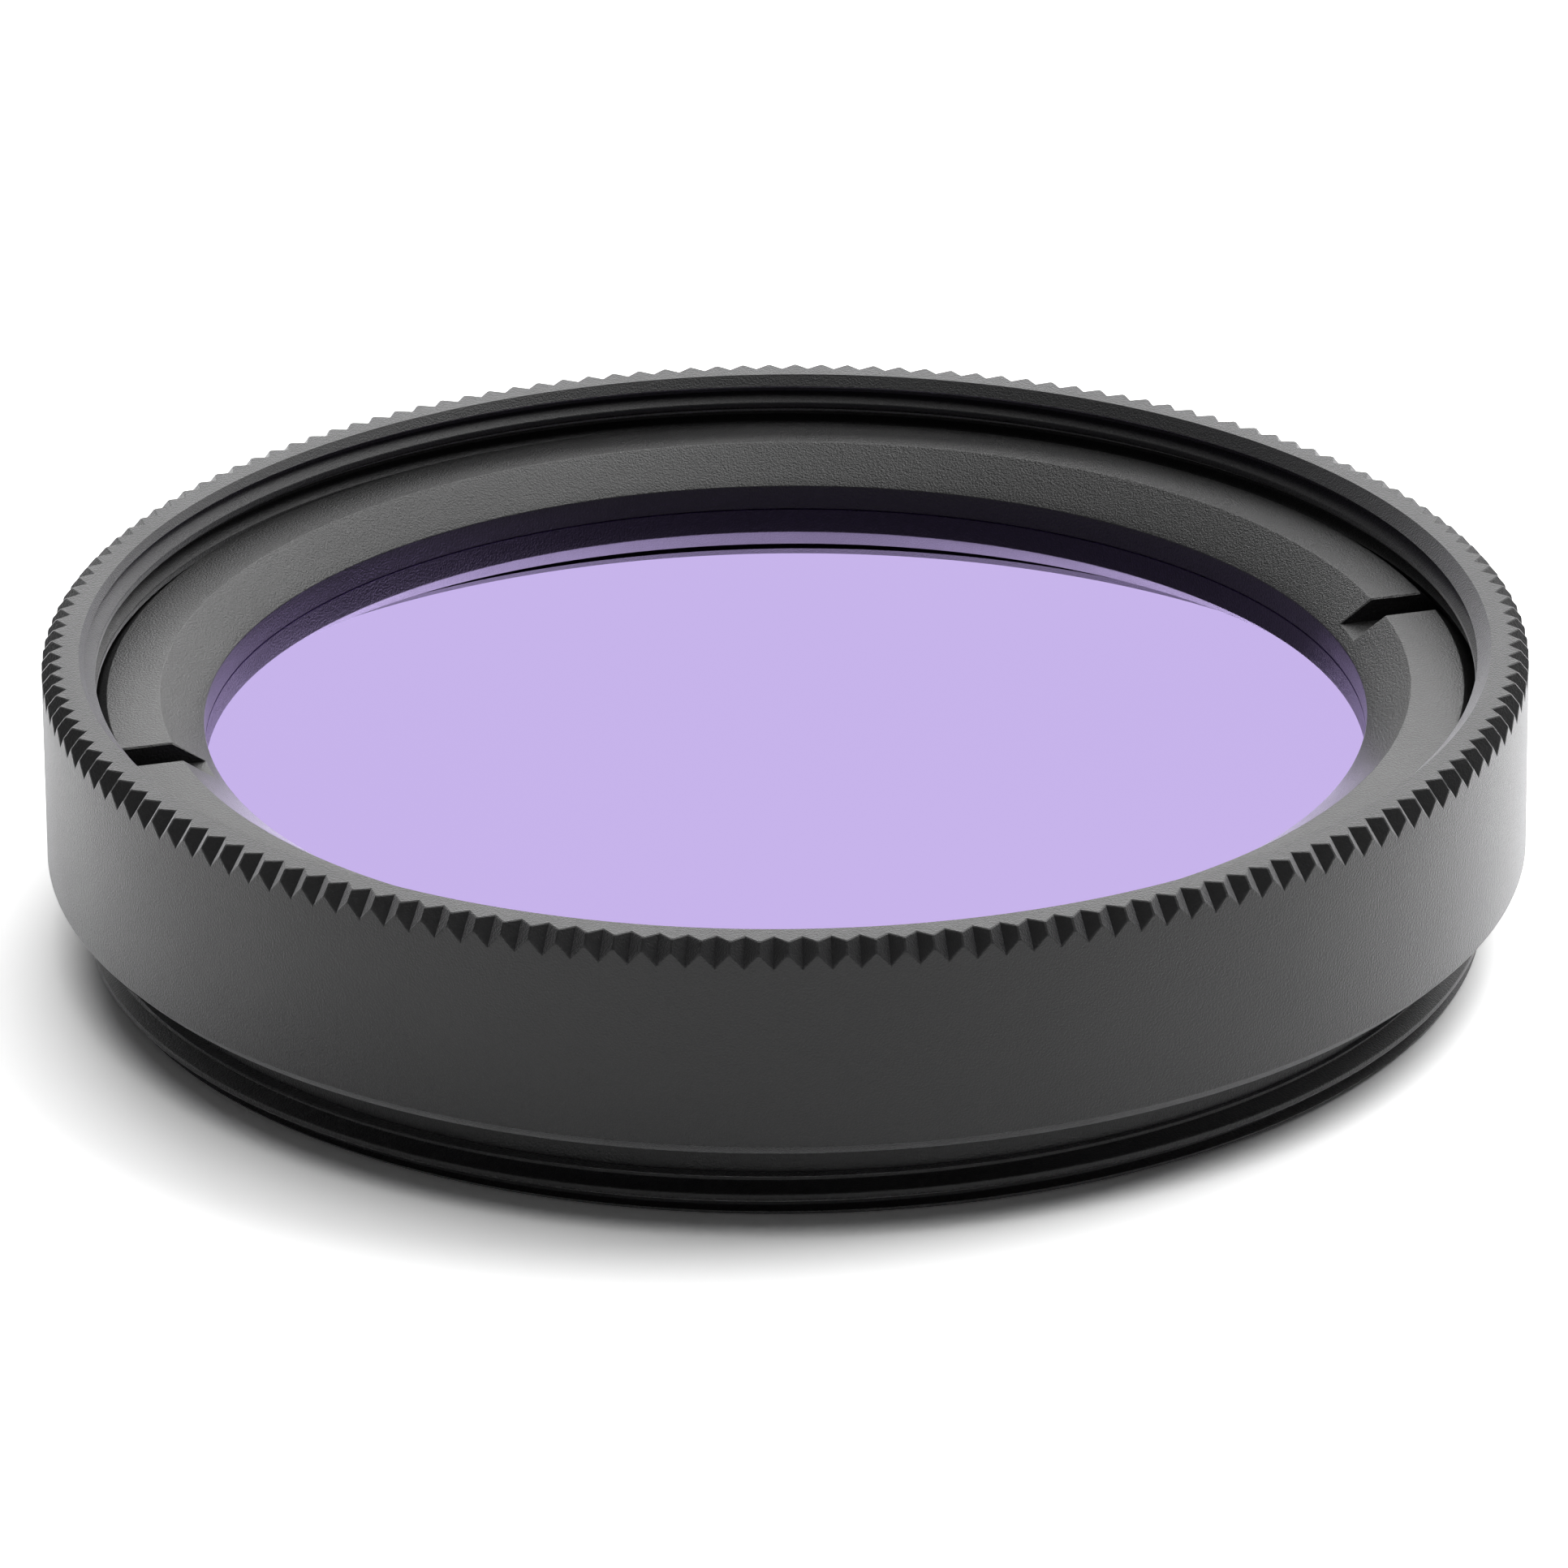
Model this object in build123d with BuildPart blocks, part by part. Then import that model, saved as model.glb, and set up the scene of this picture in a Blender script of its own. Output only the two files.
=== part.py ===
# A round optical filter in a threaded ring mount, in millimetres.
# The row frame has its origin at the centre of the rear end, with +Z up through the glass.
# Rear end down: male thread, then the body, then the female thread that opens upwards.
# The thread size drives the other diameters, each through a named width or clearance.

from build123d import *
import math
import os

os.makedirs("parts", exist_ok=True)

# Thread size that both ends share; plain walls stand at the crests of the two threads
thread_major_diameter = 27.0
thread_pitch = 0.5
female_minor_factor = 1.0825

# Body of the mount ring
body_wall_over_thread = 0.75
body_height = 4.3
body_rear_chamfer = 0.25

# Male end below the body
boss_height = 1.6
male_thread_length = 0.8
male_end_chamfer = 0.28
male_runout_chamfer = 0.15
relief_depth = 0.40

# Female end above the glass; below the thread the bore runs at the root of the thread
lead_in_chamfer = 0.30
female_thread_length = 0.40

# Glass plate and the seat that carries it
glass_thickness = 2.0
glass_edge_chamfer = 0.15
glass_radial_clearance = 0.10
glass_depth = 1.955
glass_stand_proud = 0.10
glass_seat_width = 1.0
aperture_chamfer = 0.20

# Retaining ring that is screwed down on the glass
retainer_radial_clearance = 0.03
retainer_shoulder_width = 0.90
retainer_glass_overlap = 1.34
retainer_bevel_width = 0.84
retainer_inner_wall = 0.50
retainer_top_depth = 0.85
retainer_outer_chamfer = 0.45
retainer_foot_chamfer = 0.15
slot_width = 0.85
slot_depth = 0.46
slot_angle = 15.8

# Knurl on the front corner of the body
knurl_count = 167
knurl_first_angle = -93.2
knurl_slope = 51.2
knurl_root_inset = 0.39
knurl_ridge_inset = 0.17
knurl_vee_angle = 110.0

# Radii that follow from the sizes above
male_radius = thread_major_diameter / 2
female_radius = (thread_major_diameter - female_minor_factor * thread_pitch) / 2
body_radius = male_radius + body_wall_over_thread
relief_radius = male_radius - relief_depth
retainer_radius = male_radius - retainer_radial_clearance
seat_bore_radius = male_radius - retainer_shoulder_width
glass_radius = seat_bore_radius - glass_radial_clearance
aperture_radius = glass_radius - glass_seat_width
retainer_inner_radius = glass_radius - retainer_glass_overlap
retainer_bevel_radius = retainer_inner_radius + retainer_bevel_width
knurl_root_radius = body_radius - knurl_root_inset
knurl_ridge_radius = body_radius - knurl_ridge_inset

# Heights that follow from the sizes above
top_z = boss_height + body_height
glass_top_z = top_z - glass_depth
glass_seat_z = glass_top_z - glass_thickness
retainer_seat_z = glass_top_z - glass_stand_proud
retainer_top_z = top_z - retainer_top_depth
retainer_wall_top_z = glass_top_z + retainer_inner_wall
thread_start_z = top_z - lead_in_chamfer
thread_end_z = thread_start_z - female_thread_length
ridge_drop = knurl_ridge_inset * math.tan(math.radians(knurl_slope))


def groove_cutter():
    """One long wedge whose lower edge is the root line of a knurl groove at +X."""
    slope = math.radians(knurl_slope)
    along = (math.cos(slope), 0, -math.sin(slope))
    reach = 2 * knurl_root_inset
    height = 2 * knurl_root_inset
    half_width = height * math.tan(math.radians(knurl_vee_angle / 2))
    start = (
        knurl_root_radius - reach * along[0],
        0,
        top_z - reach * along[2],
    )
    plane = Plane(origin=start, x_dir=(0, 1, 0), z_dir=along)
    with BuildPart() as cutter:
        with BuildSketch(plane):
            with BuildLine():
                Polyline((0, 0), (half_width, height), (-half_width, height), close=True)
            make_face()
        extrude(amount=4 * reach)
    return cutter.part


# Mount ring: body, both threaded ends, glass seat and knurled front corner
groove = groove_cutter()

with BuildPart() as mount_ring:
    with BuildSketch(Plane.XZ):
        with BuildLine():
            Polyline(
                (aperture_radius + aperture_chamfer, 0),
                (male_radius - male_end_chamfer, 0),
                (male_radius, male_end_chamfer),
                (male_radius, male_thread_length - male_runout_chamfer),
                (male_radius - male_runout_chamfer, male_thread_length),
                (relief_radius, male_thread_length),
                (relief_radius, boss_height),
                (body_radius - body_rear_chamfer, boss_height),
                (body_radius, boss_height + body_rear_chamfer),
                (body_radius, top_z - ridge_drop),
                (knurl_ridge_radius, top_z),
                (female_radius + lead_in_chamfer, top_z),
                (female_radius, thread_start_z),
                (female_radius, thread_end_z),
                (male_radius, thread_end_z),
                (male_radius, retainer_seat_z),
                (seat_bore_radius, retainer_seat_z),
                (seat_bore_radius, glass_seat_z),
                (aperture_radius, glass_seat_z),
                (aperture_radius, aperture_chamfer),
                close=True,
            )
        make_face()
    revolve(axis=Axis.Z)
    with PolarLocations(0, knurl_count, start_angle=knurl_first_angle):
        add(groove, mode=Mode.SUBTRACT)

mount_ring.part.label = "mount_ring"
export_step(mount_ring.part, "parts/mount_ring.step")


# Retaining ring: flat front, inner bevel down to a short wall, two spanner slots
with BuildPart() as retaining_ring:
    with BuildSketch(Plane.XZ):
        with BuildLine():
            Polyline(
                (retainer_inner_radius, glass_top_z),
                (retainer_radius - retainer_foot_chamfer, glass_top_z),
                (retainer_radius, glass_top_z + retainer_foot_chamfer),
                (retainer_radius, retainer_top_z - retainer_outer_chamfer),
                (retainer_radius - retainer_outer_chamfer, retainer_top_z),
                (retainer_bevel_radius, retainer_top_z),
                (retainer_inner_radius, retainer_wall_top_z),
                close=True,
            )
        make_face()
    revolve(axis=Axis.Z)
    with Locations(Location((0, 0, retainer_top_z), (0, 0, slot_angle))):
        Box(4 * retainer_radius, slot_width, 2 * slot_depth, mode=Mode.SUBTRACT)

retaining_ring.part.label = "retaining_ring"
export_step(retaining_ring.part, "parts/retaining_ring.step")


# Filter glass: one round coated plate with ground edge chamfers
with BuildPart() as filter_glass:
    with Locations((0, 0, glass_seat_z)):
        Cylinder(
            glass_radius,
            glass_thickness,
            align=(Align.CENTER, Align.CENTER, Align.MIN),
        )
    chamfer(filter_glass.edges().filter_by(GeomType.CIRCLE), length=glass_edge_chamfer)

filter_glass.part.label = "filter_glass"
export_step(filter_glass.part, "parts/filter_glass.step")
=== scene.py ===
import math

import bmesh
import bpy
from mathutils import Matrix, Vector


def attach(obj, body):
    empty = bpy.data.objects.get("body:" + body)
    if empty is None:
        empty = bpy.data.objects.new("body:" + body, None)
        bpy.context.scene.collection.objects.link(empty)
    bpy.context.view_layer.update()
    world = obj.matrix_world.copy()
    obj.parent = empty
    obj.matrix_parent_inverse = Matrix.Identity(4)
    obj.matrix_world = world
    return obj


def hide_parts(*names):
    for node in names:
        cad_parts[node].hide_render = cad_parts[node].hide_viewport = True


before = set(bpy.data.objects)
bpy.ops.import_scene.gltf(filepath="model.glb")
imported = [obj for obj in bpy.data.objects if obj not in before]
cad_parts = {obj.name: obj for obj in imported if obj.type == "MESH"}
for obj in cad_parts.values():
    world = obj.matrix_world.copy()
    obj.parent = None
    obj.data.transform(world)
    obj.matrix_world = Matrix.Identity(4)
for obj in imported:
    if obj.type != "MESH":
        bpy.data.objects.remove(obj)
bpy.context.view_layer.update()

MM = 0.001
TURN = 2 * math.pi

# Body and threads in millimetres, the same sizes as the solids have
PITCH = 0.5
MAJOR = 13.5
FEMALE = (2 * MAJOR - 1.0825 * PITCH) / 2
MALE_ROOT = (2 * MAJOR - 1.2269 * PITCH) / 2
BODY = MAJOR + 0.75
TOP = 5.9
BOSS = 1.6
REAR_CHAMFER = 0.25
RELIEF = MAJOR - 0.40
MALE_LENGTH = 0.8
MALE_CHAMFER = 0.28
RUNOUT_CHAMFER = 0.15
LEAD_IN = 0.30
THREAD_FLOOR = 4.86

# Glass and its seat
SEAT_BORE = MAJOR - 0.90
GLASS = SEAT_BORE - 0.10
GLASS_CHAMFER = 0.15
GLASS_PROUD = 0.10
APERTURE = GLASS - 1.0
APERTURE_CHAMFER = 0.20
GLASS_TOP = TOP - 1.955
GLASS_SEAT = GLASS_TOP - 2.0

# Retaining ring and its slots
RETAINER = MAJOR - 0.03
RETAINER_TOP = TOP - 0.85
RETAINER_IN = GLASS - 1.34
RETAINER_BEVEL = RETAINER_IN + 0.84
RETAINER_CHAMFER = 0.45
FOOT_CHAMFER = 0.15
INNER_WALL = 0.50
SLOT_FLOOR = RETAINER_TOP - 0.46
SLOT_HALF = 0.425
SLOT_ANGLE = math.radians(15.8)

# Knurl on the front corner
TEETH = 167
FIRST_TOOTH = math.radians(-93.2)
SLOPE = math.radians(51.2)
VEE = math.tan(math.radians(55.0))
ROOT_R = BODY - 0.39
RIDGE_R = BODY - 0.17

# Thread form: the female flank's height, the crest's and the root's widths, and the crest's rounding
FLANK = (MAJOR - FEMALE) * math.tan(math.radians(30.0))
CREST = 0.5 * (PITCH - 2.0 * FLANK) + 0.03
ROOT = PITCH - 2.0 * FLANK - CREST
EDGE = 0.03

# One crest of the female thread, as the photograph shows it at an angle in degrees from +X
SEEN_CREST = 5.43
SEEN_ANGLE = 150.0

# Height of one crest of each thread at +X
FEMALE_CREST = SEEN_CREST - PITCH * SEEN_ANGLE / 360.0
MALE_CREST = 0.09

# Widths of the rounding on the other corners
RING_EASE = 0.02
RETAINER_EASE = 0.025
SLOT_EASE = 0.03


def clamp(v, lo, hi):
    return max(lo, min(hi, v))


def curve_weights(t):
    """Shares of the start, the corner and the end of a curved corner, from t = 0 to 1."""
    return (1 - t) ** 2, 2 * t * (1 - t), t * t


def make_object(name, bm, sharp=12.0):
    """Turns a bmesh in millimetres into a smooth shaded object with sharp creases."""
    bmesh.ops.remove_doubles(bm, verts=bm.verts, dist=2e-5)
    bmesh.ops.dissolve_degenerate(bm, edges=bm.edges, dist=1e-5)
    bmesh.ops.recalc_face_normals(bm, faces=bm.faces)
    bmesh.ops.scale(bm, vec=(MM, MM, MM), verts=bm.verts)
    mesh = bpy.data.meshes.new(name)
    bm.to_mesh(mesh)
    bm.free()
    for face in mesh.polygons:
        face.use_smooth = True
    mesh.set_sharp_from_angle(angle=math.radians(sharp))
    obj = bpy.data.objects.new(name, mesh)
    bpy.context.scene.collection.objects.link(obj)
    return obj


def sweep(columns, close_profile=True):
    """A surface through columns of (x, y, z) points, closed around the axis."""
    bm = bmesh.new()
    rings = []
    for points in columns:
        rings.append([bm.verts.new(p) for p in points])
    rows = len(rings[0])
    for a, b in zip(rings, rings[1:]):
        for i in range(rows if close_profile else rows - 1):
            j = (i + 1) % rows
            bm.faces.new((a[i], b[i], b[j], a[j]))
    return bm


def around_axis(points, theta):
    """(r, z) points as (x, y, z) points at one angle around the axis."""
    c, s = math.cos(theta), math.sin(theta)
    return [(r * c, r * s, z) for r, z in points]


def eased(points, width):
    """Rounds every corner of an open list of (r, z) points with three small facets."""
    out = [points[0]]
    for before, here, after in zip(points, points[1:], points[2:]):
        ends = []
        for other in (before, after):
            dr, dz = other[0] - here[0], other[1] - here[1]
            length = math.hypot(dr, dz)
            step = min(width, length * 0.4)
            ends.append((here[0] + dr / length * step, here[1] + dz / length * step))
        for t in (0.0, 1 / 3, 2 / 3, 1.0):
            a, b, c = curve_weights(t)
            out.append(
                (
                    a * ends[0][0] + b * here[0] + c * ends[1][0],
                    a * ends[0][1] + b * here[1] + c * ends[1][1],
                )
            )
    out.append(points[-1])
    return out


def edge_height(t):
    """Height above the crest's middle on its rounded edge, from t = 0 on the crest to 1 on the flank."""
    a, b, c = curve_weights(t)
    return a * (CREST / 2 - EDGE) + b * CREST / 2 + c * (CREST / 2 + EDGE / 2)


def thread_marks(crest, floor, ceiling):
    """Heights of the corners of a thread whose crests lie at crest + k * pitch, from the top down."""
    marks = []
    turns = int((ceiling - floor) / PITCH) + 3
    first = crest + PITCH * turns
    for k in range(2 * turns + 1):
        c = first - k * PITCH
        for t in (1.0, 2 / 3, 1 / 3, 0.0):
            marks.append(c + edge_height(t))
        marks.append(c - edge_height(0.0))
        marks.append(c - edge_height(1.0))
        marks.append(c - CREST / 2 - FLANK)
        marks.append(c - CREST / 2 - FLANK - ROOT)
    return marks


def thread_depth(z, crest):
    """0 on a crest and 1 on a root, along the 60 degree flanks, with the crest's edges rounded."""
    u = abs((z - crest + PITCH / 2) % PITCH - PITCH / 2)
    if edge_height(0.0) < u < edge_height(1.0):
        over = u - edge_height(0.0)
        t = 2.0 - math.sqrt(max(0.0, 4.0 - 2.0 * over / EDGE))
        return t * t * (0.5 * EDGE / FLANK)
    return clamp((u - CREST / 2) / FLANK, 0.0, 1.0)


def female_thread(z, crest):
    return FEMALE + (MAJOR - FEMALE) * thread_depth(z, crest)


def female_limit(z):
    """Radius of the lead-in chamfer, which cuts the female thread off at the front."""
    return FEMALE + LEAD_IN - (TOP - z)


def male_thread(z, crest):
    return MAJOR - (MAJOR - MALE_ROOT) * thread_depth(z, crest)


def male_limit(z):
    """Radius of the two chamfers that end the male thread, at the rear end and at the relief."""
    return min(MAJOR - MALE_CHAMFER + z, MAJOR - RUNOUT_CHAMFER + (MALE_LENGTH - z))


def cross(gap, za, zb):
    """Where the function gap changes sign between two heights, or the nearer end."""
    ga, gb = gap(za), gap(zb)
    if ga * gb > 0 or abs(ga - gb) < 1e-12:
        return za if abs(ga) < abs(gb) else zb
    return za + (zb - za) * ga / (ga - gb)


def thread_heights(crest, floor, ceiling, gap):
    """Heights of a thread's corners between floor and ceiling, and of where it meets a chamfer."""
    marks = thread_marks(crest, floor, ceiling)
    heights = []
    for za, zb in zip(marks, marks[1:]):
        heights.append(za)
        heights.append(cross(gap, za, zb))
    heights.append(marks[-1])
    return [clamp(z, floor, ceiling) for z in heights]


def female_column(theta):
    """(r, z) points down the threaded mouth, from the front face to the thread's floor."""
    crest = FEMALE_CREST + PITCH * theta / TURN
    heights = thread_heights(
        crest, THREAD_FLOOR, TOP, lambda z: female_thread(z, crest) - female_limit(z)
    )
    return [(max(female_thread(z, crest), female_limit(z)), z) for z in heights]


def male_column(theta):
    """(r, z) points up the male thread, from the rear end to the relief."""
    crest = MALE_CREST + PITCH * theta / TURN
    heights = thread_heights(
        crest, 0.0, MALE_LENGTH, lambda z: male_thread(z, crest) - male_limit(z)
    )
    return [(min(male_thread(z, crest), male_limit(z)), z) for z in reversed(heights)]


def knurl_line(theta):
    """Radius where the knurled corner leaves the front face, and height where it meets the wall."""
    pitch = TURN / TEETH
    phi = (theta - FIRST_TOOTH + pitch / 2) % pitch - pitch / 2
    s, c = math.sin(SLOPE), math.cos(SLOPE)
    cut = abs(math.sin(phi)) / VEE
    r_top = ROOT_R * s / (s * math.cos(phi) - cut)
    z_wall = TOP + (BODY * cut - s * (BODY * math.cos(phi) - ROOT_R)) / c
    if r_top > RIDGE_R:
        r_top = RIDGE_R
        z_wall = TOP - (BODY - RIDGE_R) * s / c
    return r_top, z_wall


def knurl_angles():
    """Angles once around the ring that follow the knurl: groove roots, flanks and edges of the lands."""
    pitch = TURN / TEETH
    half = math.atan(VEE * math.sin(SLOPE) * (RIDGE_R - ROOT_R) / RIDGE_R)
    widest = 0.47 * pitch
    half = min(half, widest)
    angles = []
    for k in range(TEETH):
        middle = FIRST_TOOTH + k * pitch
        for f in (-1.0, -0.5, 0.0, 0.5, 1.0):
            angles.append((middle + f * half) % TURN)
    nearly = 1e-4
    return [0.0] + [a for a in sorted(angles) if nearly < a < TURN - nearly] + [TURN]


def body_outside(z_wall):
    """The relief, the shoulder and the wall, up to the knurl."""
    corners = [
        (RELIEF, MALE_LENGTH),
        (RELIEF, BOSS),
        (BODY - REAR_CHAMFER, BOSS),
        (BODY, BOSS + REAR_CHAMFER),
        (BODY, z_wall),
    ]
    return eased(corners, RING_EASE)[:-1]


def front_corner(r_top, z_wall):
    """The knurled corner with slightly rounded ends, and the flat face inside it."""
    inside_roots = 0.06
    across = (BODY - r_top, z_wall - TOP)
    length = math.hypot(*across)
    step = (across[0] / length * RING_EASE, across[1] / length * RING_EASE)
    return [
        (BODY, z_wall - RING_EASE),
        (BODY - step[0], z_wall - step[1]),
        (r_top + step[0], TOP + step[1]),
        (r_top - RING_EASE, TOP),
        (ROOT_R - inside_roots, TOP),
        (FEMALE + LEAD_IN + RING_EASE, TOP),
    ]


def seat_inside():
    """The bores below the female thread: for the retaining ring, for the glass and for the light."""
    corners = [
        (MAJOR, THREAD_FLOOR),
        (MAJOR, GLASS_TOP - GLASS_PROUD),
        (SEAT_BORE, GLASS_TOP - GLASS_PROUD),
        (SEAT_BORE, GLASS_SEAT),
        (APERTURE, GLASS_SEAT),
        (APERTURE, APERTURE_CHAMFER),
        (APERTURE + APERTURE_CHAMFER, 0.0),
    ]
    return eased(corners, RING_EASE)[:-1]


def build_mount_ring():
    columns = []
    for theta in knurl_angles():
        r_top, z_wall = knurl_line(theta)
        points = [(APERTURE + APERTURE_CHAMFER, 0.0)]
        points += male_column(theta)
        points += body_outside(z_wall)
        points += front_corner(r_top, z_wall)
        points += female_column(theta)
        points += seat_inside()
        columns.append(around_axis(points, theta))
    return make_object("mount_ring_knurled", sweep(columns))


def retainer_profile():
    """The retaining ring's closed (r, z) outline, rounded, with points at the slot floor's height."""
    foot = 0.02
    wall_foot = 0.20
    corners = [
        (RETAINER_IN, GLASS_TOP),
        (RETAINER - FOOT_CHAMFER, GLASS_TOP),
        (RETAINER, GLASS_TOP + FOOT_CHAMFER),
        (RETAINER, RETAINER_TOP - RETAINER_CHAMFER),
        (RETAINER - RETAINER_CHAMFER, RETAINER_TOP),
        (RETAINER_BEVEL, RETAINER_TOP),
        (RETAINER_IN, GLASS_TOP + INNER_WALL),
        (RETAINER_IN, GLASS_TOP + wall_foot),
        (RETAINER_IN, GLASS_TOP),
    ]
    rounded = eased(corners, RETAINER_EASE)[1:-1]
    rounded += [(RETAINER_IN, GLASS_TOP + foot), (RETAINER_IN + foot, GLASS_TOP)]
    closed = []
    for (ra, za), (rb, zb) in zip(rounded, rounded[1:] + rounded[:1]):
        closed.append((ra, za))
        if (za - SLOT_FLOOR) * (zb - SLOT_FLOOR) < 0:
            t = (za - SLOT_FLOOR) / (za - zb)
            closed.append((ra + (rb - ra) * t, SLOT_FLOOR))
    return closed


def build_retaining_ring():
    closed = retainer_profile()
    steps = 240
    slot_parts = 4
    whole_cut = 9.0

    def slot_column(base, beside, drop):
        """The outline beside a slot's middle line, lowered by drop but not below the slot's floor."""
        points = []
        for r, z in closed:
            phi = base + math.asin(beside / r) + SLOT_ANGLE
            z = max(SLOT_FLOOR, z - drop) if z > SLOT_FLOOR else z
            points.append((r * math.cos(phi), r * math.sin(phi), z))
        return points

    def ring_column(base, share):
        """The outline between two slots, at a share of the way from one to the other."""
        points = []
        for r, z in closed:
            wall = math.asin((SLOT_HALF + SLOT_EASE) / r)
            phi = base + wall + share * (math.pi - 2 * wall) + SLOT_ANGLE
            points.append((r * math.cos(phi), r * math.sin(phi), z))
        return points

    columns = []
    for base in (0.0, math.pi):
        for k in range(slot_parts + 1):
            columns.append(slot_column(base, -SLOT_HALF + 2 * SLOT_HALF * k / slot_parts, whole_cut))
        columns.append(slot_column(base, SLOT_HALF, SLOT_EASE))
        for k in range(steps + 1):
            columns.append(ring_column(base, k / steps))
        columns.append(slot_column(base + math.pi, -SLOT_HALF, SLOT_EASE))
    columns.append(columns[0])
    return make_object("retaining_ring_slotted", sweep(columns))


def build_glass():
    profile = [
        (0.0, GLASS_SEAT),
        (GLASS * 0.5, GLASS_SEAT),
        (GLASS - GLASS_CHAMFER, GLASS_SEAT),
        (GLASS, GLASS_SEAT + GLASS_CHAMFER),
        (GLASS, GLASS_TOP - GLASS_CHAMFER),
        (GLASS - GLASS_CHAMFER, GLASS_TOP),
        (GLASS * 0.5, GLASS_TOP),
        (0.0, GLASS_TOP),
    ]
    steps = 360
    columns = [around_axis(profile, TURN * k / steps) for k in range(steps + 1)]
    return make_object("filter_glass_plate", sweep(columns, close_profile=False))


def new_material(name):
    material = bpy.data.materials.new(name)
    material.use_nodes = True
    nodes = material.node_tree.nodes
    nodes.clear()
    out = nodes.new("ShaderNodeOutputMaterial")
    shader = nodes.new("ShaderNodeBsdfPrincipled")
    material.node_tree.links.new(shader.outputs["BSDF"], out.inputs["Surface"])
    return material, nodes, material.node_tree.links, shader


def noise(nodes, links, scale, detail):
    """Noise fixed to the piece, with about so many grains to a metre."""
    place = nodes.new("ShaderNodeTexCoord")
    texture = nodes.new("ShaderNodeTexNoise")
    texture.inputs["Scale"].default_value = scale
    texture.inputs["Detail"].default_value = detail
    links.new(place.outputs["Object"], texture.inputs["Vector"])
    return texture


def two_tones(nodes, links, source, start, end, dark, light):
    """A colour that goes from dark to light as the source goes from start to end."""
    ramp = nodes.new("ShaderNodeValToRGB")
    ramp.color_ramp.elements[0].position = start
    ramp.color_ramp.elements[0].color = (*dark, 1.0)
    ramp.color_ramp.elements[1].position = end
    ramp.color_ramp.elements[1].color = (*light, 1.0)
    links.new(source, ramp.inputs["Fac"])
    return ramp.outputs["Color"]


def anodised(name, dark, light, rough, grain, depth, gloss, sheen, fuzz):
    """Black anodised aluminium: fine blasted grain with slightly uneven gloss and colour."""
    material, nodes, links, shader = new_material(name)
    fine = noise(nodes, links, grain, 3.0)
    fine.inputs["Roughness"].default_value = 0.6
    broad = noise(nodes, links, 260.0, 2.0)
    tone = two_tones(nodes, links, fine.outputs["Fac"], 0.35, 0.70, dark, light)
    links.new(tone, shader.inputs["Base Color"])
    span = nodes.new("ShaderNodeMapRange")
    span.inputs["From Min"].default_value = 0.3
    span.inputs["From Max"].default_value = 0.7
    span.inputs["To Min"].default_value = rough - 0.03
    span.inputs["To Max"].default_value = rough + 0.04
    links.new(broad.outputs["Fac"], span.inputs["Value"])
    links.new(span.outputs["Result"], shader.inputs["Roughness"])
    bump = nodes.new("ShaderNodeBump")
    bump.inputs["Strength"].default_value = 0.5
    bump.inputs["Distance"].default_value = depth
    links.new(fine.outputs["Fac"], bump.inputs["Height"])
    links.new(bump.outputs["Normal"], shader.inputs["Normal"])
    shader.inputs["Specular IOR Level"].default_value = gloss
    shader.inputs["IOR"].default_value = 1.5
    shader.inputs["Sheen Weight"].default_value = sheen
    shader.inputs["Sheen Roughness"].default_value = fuzz
    shader.inputs["Sheen Tint"].default_value = (0.98, 0.98, 1.0, 1.0)
    return material


def coated_glass():
    """Glass whose coating makes it a lavender mirror, with a faint drift of its tint."""
    material, nodes, links, shader = new_material("coated_glass")
    drift = noise(nodes, links, 45.0, 1.0)
    deep, pale = (0.527, 0.405, 0.812), (0.540, 0.417, 0.820)
    tone = two_tones(nodes, links, drift.outputs["Fac"], 0.3, 0.7, deep, pale)
    links.new(tone, shader.inputs["Base Color"])
    shader.inputs["Metallic"].default_value = 1.0
    shader.inputs["Roughness"].default_value = 0.0
    shader.inputs["IOR"].default_value = 1.52
    return material


body_finish = anodised(
    "anodised_body",
    (0.001, 0.001, 0.0015),
    (0.005, 0.005, 0.0055),
    rough=0.36,
    grain=26000.0,
    depth=0.000035,
    gloss=0.36,
    sheen=1.0,
    fuzz=0.35,
)
retainer_finish = anodised(
    "anodised_retainer",
    (0.001, 0.001, 0.001),
    (0.004, 0.0038, 0.004),
    rough=0.32,
    grain=24000.0,
    depth=0.00005,
    gloss=0.55,
    sheen=0.0,
    fuzz=0.3,
)

for piece, node, slot, finish in (
    (build_mount_ring(), "mount_ring", "anodised_body", body_finish),
    (build_retaining_ring(), "retaining_ring", "anodised_retainer", retainer_finish),
    (build_glass(), "filter_glass", "coated_glass", coated_glass()),
):
    piece.data.materials.append(finish)
    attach(piece, "root")
    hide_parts(node)


def math_node(nodes, links, operation, first, second=None):
    """The result of a math node on one or two sockets or plain numbers."""
    node = nodes.new("ShaderNodeMath")
    node.operation = operation
    for place, value in zip(node.inputs, (first, second)):
        if isinstance(value, bpy.types.NodeSocket):
            links.new(value, place)
        elif value is not None:
            place.default_value = value
    return node.outputs["Value"]


def fade(nodes, links, value, start, end):
    """A node that falls smoothly from 1, where the value is start, to 0, where it is end."""
    node = nodes.new("ShaderNodeMapRange")
    node.interpolation_type = "SMOOTHSTEP"
    node.inputs["From Min"].default_value = start
    node.inputs["From Max"].default_value = end
    node.inputs["To Min"].default_value = 1.0
    node.inputs["To Max"].default_value = 0.0
    links.new(value, node.inputs["Value"])
    return node


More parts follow.
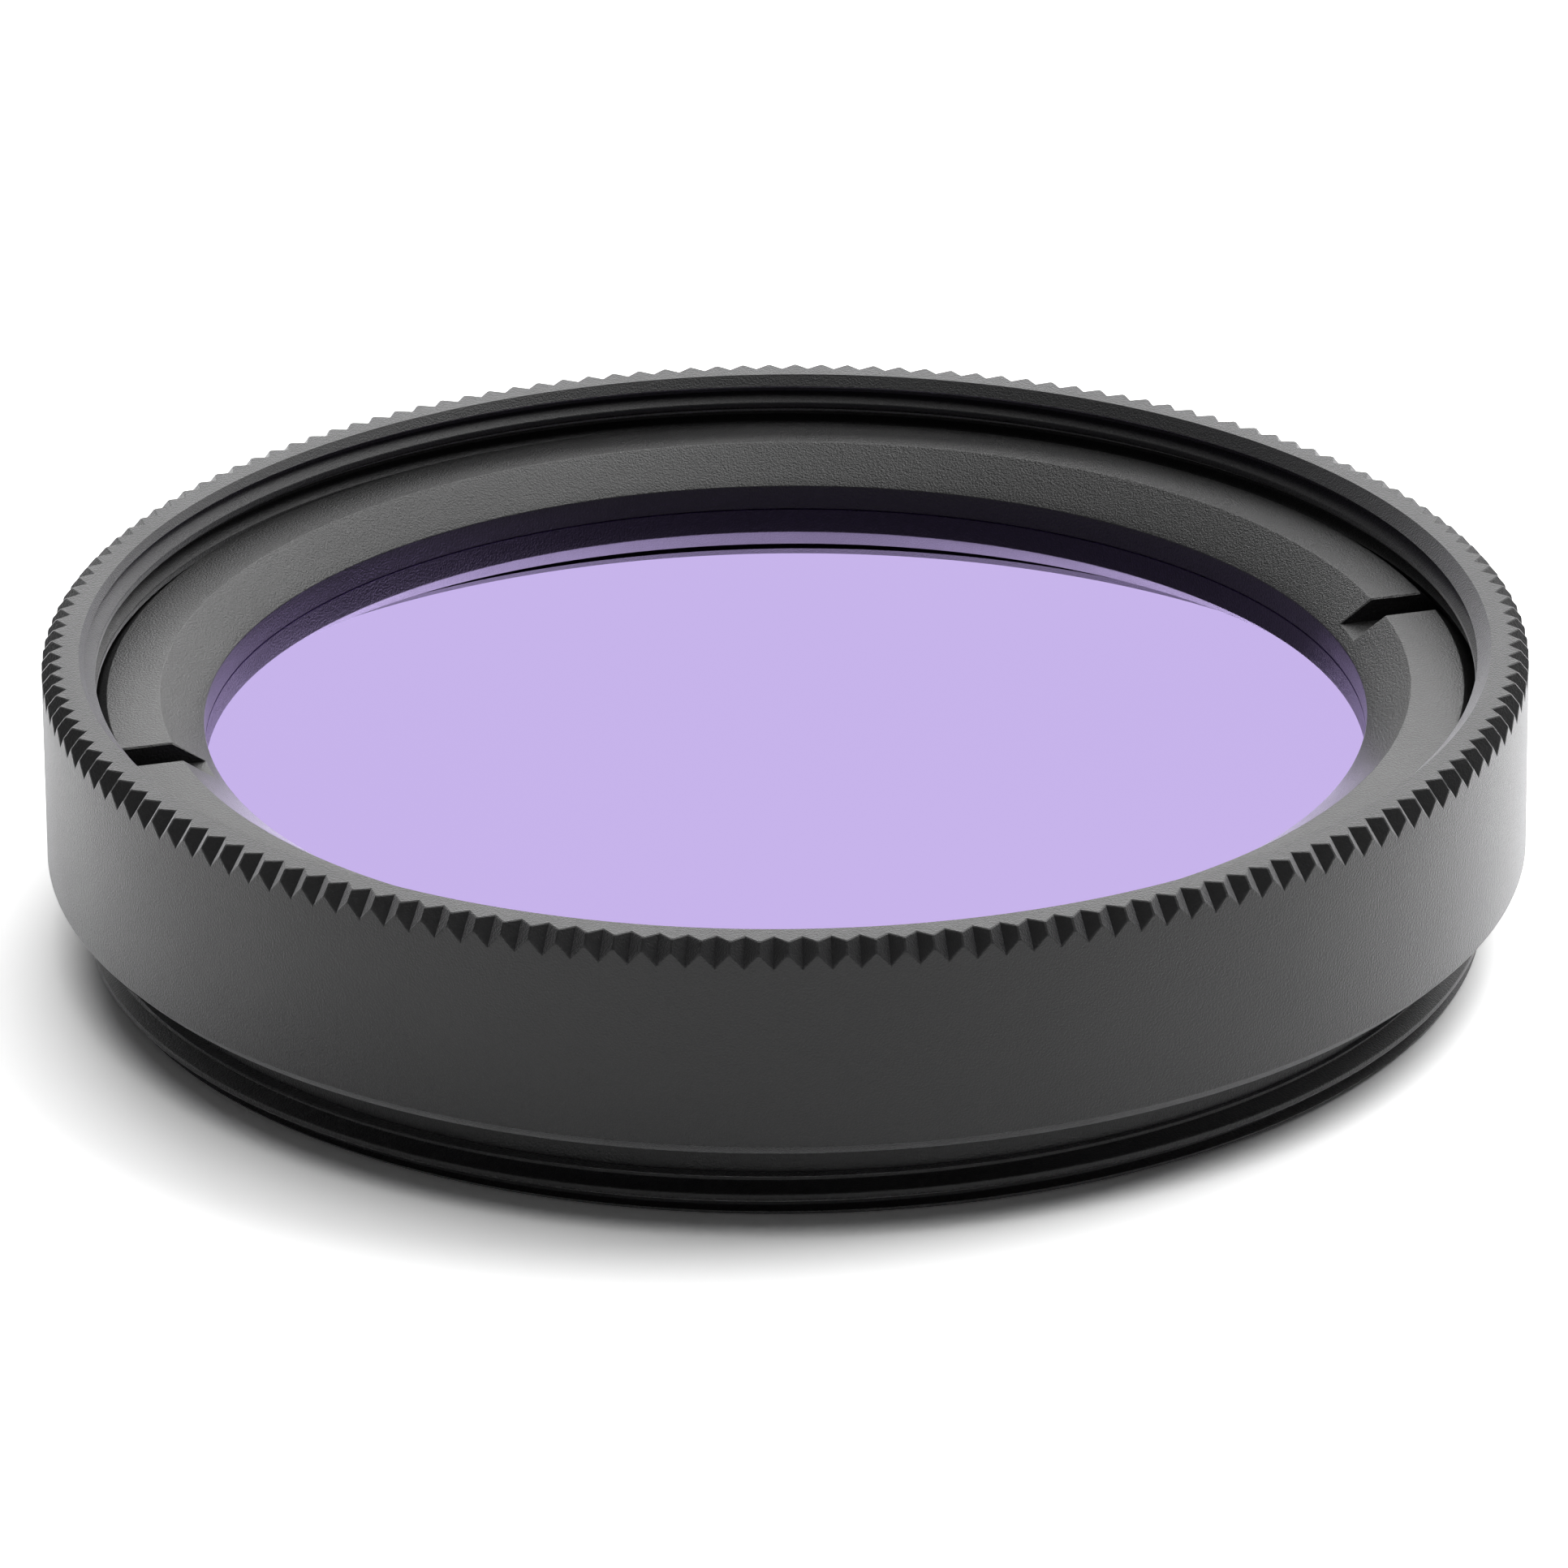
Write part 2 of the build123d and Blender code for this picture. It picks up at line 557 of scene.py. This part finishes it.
def build_floor(reach=3.0):
    """A white floor that keeps the part's shadow and looks lighter to the camera and in reflections."""
    mesh = bpy.data.meshes.new("floor")
    corners = [(-reach, -reach, 0.0), (reach, -reach, 0.0), (reach, reach, 0.0), (-reach, reach, 0.0)]
    mesh.from_pydata(corners, [], [(0, 1, 2, 3)])
    finish = bpy.data.materials.new("floor_white")
    finish.use_nodes = True
    nodes, links = finish.node_tree.nodes, finish.node_tree.links
    nodes.clear()
    out = nodes.new("ShaderNodeOutputMaterial")
    paint = nodes.new("ShaderNodeBsdfDiffuse")
    path = nodes.new("ShaderNodeLightPath").outputs
    shown = math_node(nodes, links, "MAXIMUM", path["Is Camera Ray"], path["Is Glossy Ray"])
    shown = math_node(nodes, links, "MAXIMUM", shown, path["Is Transmission Ray"])
    tone = nodes.new("ShaderNodeMix")
    tone.data_type = "RGBA"
    tone.inputs["A"].default_value = (0.86, 0.86, 0.86, 1.0)
    tone.inputs["B"].default_value = (1.7, 1.7, 1.7, 1.0)
    links.new(shown, tone.inputs["Factor"])
    links.new(tone.outputs["Result"], paint.inputs["Color"])
    links.new(paint.outputs["BSDF"], out.inputs["Surface"])
    mesh.materials.append(finish)
    obj = bpy.data.objects.new("floor", mesh)
    bpy.context.scene.collection.objects.link(obj)
    return obj


def build_world():
    """White to the camera. Other rays see a white sweep low behind the part and a dim room elsewhere,
    and reflections also see some of the sweep all around, so the glass keeps its colour from each side."""
    world = bpy.data.worlds.new("studio")
    bpy.context.scene.world = world
    world.use_nodes = True
    nodes, links = world.node_tree.nodes, world.node_tree.links
    nodes.clear()
    out = nodes.new("ShaderNodeOutputWorld")
    back = nodes.new("ShaderNodeBackground")
    back.inputs["Color"].default_value = (1.0, 1.0, 1.0, 1.0)
    path = nodes.new("ShaderNodeLightPath").outputs
    way = nodes.new("ShaderNodeTexCoord")
    split = nodes.new("ShaderNodeSeparateXYZ")
    links.new(way.outputs["Generated"], split.inputs["Vector"])
    bearing = math_node(nodes, links, "ARCTAN2", split.outputs["X"], split.outputs["Y"])
    aside = math_node(nodes, links, "SUBTRACT", bearing, math.radians(4.0))
    aside = math_node(nodes, links, "ABSOLUTE", aside)
    behind = fade(nodes, links, aside, math.radians(18.0), math.radians(34.0))
    around = math_node(nodes, links, "MULTIPLY", path["Is Glossy Ray"], 0.4)
    links.new(around, behind.inputs["To Max"])  # reflections fall to this instead of 0
    low = fade(nodes, links, split.outputs["Z"], 0.48, 0.58)
    sweep_light = math_node(nodes, links, "MULTIPLY", behind.outputs["Result"], low.outputs["Result"])
    room = nodes.new("ShaderNodeMapRange")
    room.inputs["To Min"].default_value = 0.06
    room.inputs["To Max"].default_value = 1.0
    links.new(sweep_light, room.inputs["Value"])
    strength = nodes.new("ShaderNodeMix")
    strength.data_type = "FLOAT"
    strength.inputs["B"].default_value = 1.0
    links.new(path["Is Camera Ray"], strength.inputs["Factor"])
    links.new(room.outputs["Result"], strength.inputs["A"])
    links.new(strength.outputs["Result"], back.inputs["Strength"])
    links.new(back.outputs["Background"], out.inputs["Surface"])


def softbox(name, azimuth, height, away, size, level):
    """A lamp aimed at the part from so many degrees right of straight behind and above the floor.
    It looks as bright as level, where white is 1, and is round when its two sizes are equal."""
    lamp = bpy.data.lights.new(name, "AREA")
    wide, tall = size
    if wide == tall:
        lamp.shape = "DISK"
        lamp.size = wide
        lamp.energy = level * math.pi * math.pi * wide * wide / 4.0
    else:
        lamp.shape = "RECTANGLE"
        lamp.size, lamp.size_y = wide, tall
        lamp.energy = level * math.pi * wide * tall
    az, el = math.radians(azimuth), math.radians(height)
    place = Vector((math.cos(el) * math.sin(az), math.cos(el) * math.cos(az), math.sin(el))) * away
    obj = bpy.data.objects.new(name, lamp)
    obj.location = place
    obj.rotation_euler = (-place).to_track_quat("-Z", "Y").to_euler()
    bpy.context.scene.collection.objects.link(obj)
    return obj


build_floor()
build_world()
softbox("overhead", 20.0, 76.0, 0.50, (0.65, 0.65), 2.2)
softbox("right_back", 58.0, 52.0, 0.50, (0.36, 0.36), 3.6)
softbox("back_high", 8.0, 33.0, 0.50, (0.53, 0.08), 4.5)
softbox("back_low", 8.0, 14.0, 0.50, (0.53, 0.088), 3.5)

# The photograph's camera: distances in body radii, and its focal length and frame in pixels
ELEVATION = math.radians(23.745)
ROLL = math.radians(-0.483)
DISTANCE = 17.088
AIM_RIGHT = -0.0029
AIM_DOWN = 0.2153
FOCAL_PIXELS = 15567.8
FRAME_PIXELS = 1932.0
SENSOR = 36.0


def build_camera():
    target = Vector((AIM_RIGHT * BODY * MM, 0.0, (TOP - AIM_DOWN * BODY) * MM))
    forward = Vector((0.0, math.cos(ELEVATION), -math.sin(ELEVATION)))
    right = Vector((1.0, 0.0, 0.0))
    up = Vector((0.0, math.sin(ELEVATION), math.cos(ELEVATION)))
    camera_right = right * math.cos(ROLL) + up * math.sin(ROLL)
    camera_up = up * math.cos(ROLL) - right * math.sin(ROLL)
    spot = target - forward * (DISTANCE * BODY * MM)
    lens = bpy.data.cameras.new("camera")
    lens.sensor_width = SENSOR
    lens.lens = FOCAL_PIXELS * SENSOR / FRAME_PIXELS
    lens.clip_start = 0.01
    lens.clip_end = 20.0
    camera = bpy.data.objects.new("camera", lens)
    turned = Matrix((camera_right, camera_up, -forward)).transposed()
    camera.matrix_world = Matrix.Translation(spot) @ turned.to_4x4()
    bpy.context.scene.collection.objects.link(camera)
    bpy.context.scene.camera = camera


build_camera()
bpy.context.scene.view_settings.view_transform = "Standard"
